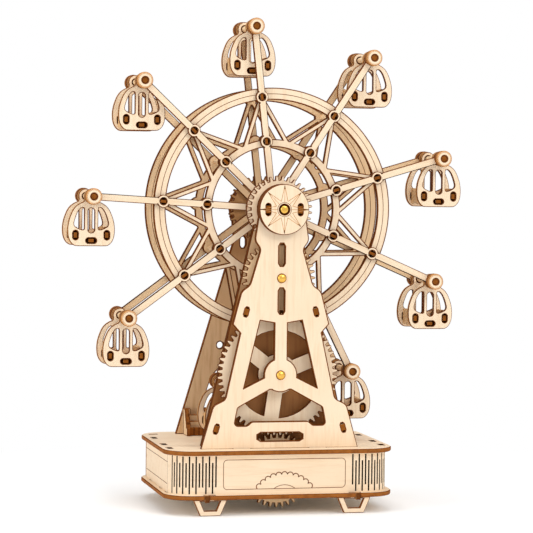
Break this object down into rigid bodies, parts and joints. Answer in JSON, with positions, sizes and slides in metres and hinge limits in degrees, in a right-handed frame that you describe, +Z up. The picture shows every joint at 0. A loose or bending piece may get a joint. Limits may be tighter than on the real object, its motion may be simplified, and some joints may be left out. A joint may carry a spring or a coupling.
{
  "type": "toy ferris wheel",
  "caption": "Hand-cranked wooden ferris wheel toy with a gear train on a tower, hanging gondolas and a music box in its base.",
  "frame": {"origin": "centre of the base, on the surface that the four feet stand on", "axes": "+Z up, +X to the right, -Y towards the front, the side of the gear train"},
  "size_m": [0.2787, 0.139, 0.3377],
  "materials": {
    "basswood_ply": "sanded pale ply, laser-cut edges burnt brown",
    "birch_dowel": "plain turned dowel",
    "brass": "drawn rod, satin",
    "movement_steel": "plated, satin"
  },
  "bodies": {
    "base": {"deck_plate": "basswood_ply", "bottom_plate": "basswood_ply", "wall_wrap": "basswood_ply", "rear_wall": "basswood_ply", "feet": "basswood_ply", "foot_keys": "basswood_ply", "front_plate": "basswood_ply", "inner_plate": "basswood_ply", "tower_spacers": "basswood_ply", "rear_plate": "basswood_ply", "bearing_backplate": "basswood_ply", "rosette_disc": "basswood_ply", "rosette_keys": "basswood_ply", "rear_bearing_disc": "basswood_ply", "gear_pins": "brass", "gear_washers": "basswood_ply", "boarding_steps": "basswood_ply", "bearing_board": "basswood_ply", "music_bedplate": "movement_steel", "music_comb": "movement_steel"},
    "wheel": {"wheel_axle": "brass", "hub_gear": "basswood_ply", "hub_spacers": "basswood_ply", "front_hub_disc": "basswood_ply", "rear_hub_gear": "basswood_ply", "front_arms": "basswood_ply", "rear_arms": "basswood_ply", "front_lattice": "basswood_ply", "rear_lattice": "basswood_ply", "outer_dowels": "birch_dowel", "inner_dowels": "birch_dowel", "gondola_axles": "birch_dowel", "axle_caps": "basswood_ply", "gondola_washers": "basswood_ply"},
    "middle_gear": {"middle_gear": "basswood_ply"},
    "big_gear": {"big_gear": "basswood_ply"},
    "crank": {"crank_shaft": "brass", "drive_gear": "basswood_ply", "crank_arm": "basswood_ply", "knob_pin": "brass"},
    "crank_knob": {"crank_knob": "birch_dowel"},
    "music_cylinder": {"music_cylinder": "brass"},
    "gondola_1": {"gondola_1_panels": "basswood_ply", "gondola_1_boards": "basswood_ply"},
    "gondola_2": {"gondola_2_panels": "basswood_ply", "gondola_2_boards": "basswood_ply"},
    "gondola_3": {"gondola_3_panels": "basswood_ply", "gondola_3_boards": "basswood_ply"},
    "gondola_4": {"gondola_4_panels": "basswood_ply", "gondola_4_boards": "basswood_ply"},
    "gondola_5": {"gondola_5_panels": "basswood_ply", "gondola_5_boards": "basswood_ply"},
    "gondola_6": {"gondola_6_panels": "basswood_ply", "gondola_6_boards": "basswood_ply"},
    "gondola_7": {"gondola_7_panels": "basswood_ply", "gondola_7_boards": "basswood_ply"},
    "gondola_8": {"gondola_8_panels": "basswood_ply", "gondola_8_boards": "basswood_ply"},
    "gondola_9": {"gondola_9_panels": "basswood_ply", "gondola_9_boards": "basswood_ply"}
  },
  "joints": [
    {"name": "wheel_spin", "type": "hinge", "parent": "base", "child": "wheel", "pos_m": [0, 0, 0.2065], "axis": [0, -1, 0], "continuous": true},
    {"name": "middle_gear_spin", "type": "hinge", "parent": "base", "child": "middle_gear", "pos_m": [0, -0.0375, 0.15975], "axis": [0, -1, 0], "continuous": true},
    {"name": "big_gear_spin", "type": "hinge", "parent": "base", "child": "big_gear", "pos_m": [0, -0.0375, 0.09375], "axis": [0, -1, 0], "continuous": true},
    {"name": "crank_spin", "type": "hinge", "parent": "base", "child": "crank", "pos_m": [0, 0, 0.02775], "axis": [0, -1, 0], "continuous": true},
    {"name": "knob_spin", "type": "hinge", "parent": "crank", "child": "crank_knob", "pos_m": [0, 0.071, 0.04575], "axis": [0, -1, 0], "continuous": true},
    {"name": "cylinder_spin", "type": "hinge", "parent": "base", "child": "music_cylinder", "pos_m": [0, 0.018, 0.03515], "axis": [1, 0, 0], "continuous": true},
    {"name": "gondola_1_swing", "type": "hinge", "parent": "wheel", "child": "gondola_1", "pos_m": [-0.01453, 0, 0.33166], "axis": [0, -1, 0], "continuous": true},
    {"name": "gondola_2_swing", "type": "hinge", "parent": "wheel", "child": "gondola_2", "pos_m": [-0.09158, 0, 0.29304], "axis": [0, -1, 0], "continuous": true},
    {"name": "gondola_3_swing", "type": "hinge", "parent": "wheel", "child": "gondola_3", "pos_m": [-0.12578, 0, 0.21393], "axis": [0, -1, 0], "continuous": true},
    {"name": "gondola_4_swing", "type": "hinge", "parent": "wheel", "child": "gondola_4", "pos_m": [-0.10113, 0, 0.13134], "axis": [0, -1, 0], "continuous": true},
    {"name": "gondola_5_swing", "type": "hinge", "parent": "wheel", "child": "gondola_5", "pos_m": [-0.02916, 0, 0.08392], "axis": [0, -1, 0], "continuous": true},
    {"name": "gondola_6_swing", "type": "hinge", "parent": "wheel", "child": "gondola_6", "pos_m": [0.05646, 0, 0.09386], "axis": [0, -1, 0], "continuous": true},
    {"name": "gondola_7_swing", "type": "hinge", "parent": "wheel", "child": "gondola_7", "pos_m": [0.11565, 0, 0.1565], "axis": [0, -1, 0], "continuous": true},
    {"name": "gondola_8_swing", "type": "hinge", "parent": "wheel", "child": "gondola_8", "pos_m": [0.12074, 0, 0.24254], "axis": [0, -1, 0], "continuous": true},
    {"name": "gondola_9_swing", "type": "hinge", "parent": "wheel", "child": "gondola_9", "pos_m": [0.06932, 0, 0.31172], "axis": [0, -1, 0], "continuous": true}
  ],
  "couplings": [
    {"joint": "middle_gear_spin", "follows": "wheel_spin", "ratio": -0.88889},
    {"joint": "big_gear_spin", "follows": "wheel_spin", "ratio": 0.53333},
    {"joint": "crank_spin", "follows": "wheel_spin", "ratio": -0.88889},
    {"joint": "cylinder_spin", "follows": "wheel_spin", "ratio": -0.063492},
    {"joint": "gondola_1_swing", "follows": "wheel_spin", "ratio": -1},
    {"joint": "gondola_2_swing", "follows": "wheel_spin", "ratio": -1},
    {"joint": "gondola_3_swing", "follows": "wheel_spin", "ratio": -1},
    {"joint": "gondola_4_swing", "follows": "wheel_spin", "ratio": -1},
    {"joint": "gondola_5_swing", "follows": "wheel_spin", "ratio": -1},
    {"joint": "gondola_6_swing", "follows": "wheel_spin", "ratio": -1},
    {"joint": "gondola_7_swing", "follows": "wheel_spin", "ratio": -1},
    {"joint": "gondola_8_swing", "follows": "wheel_spin", "ratio": -1},
    {"joint": "gondola_9_swing", "follows": "wheel_spin", "ratio": -1}
  ]
}
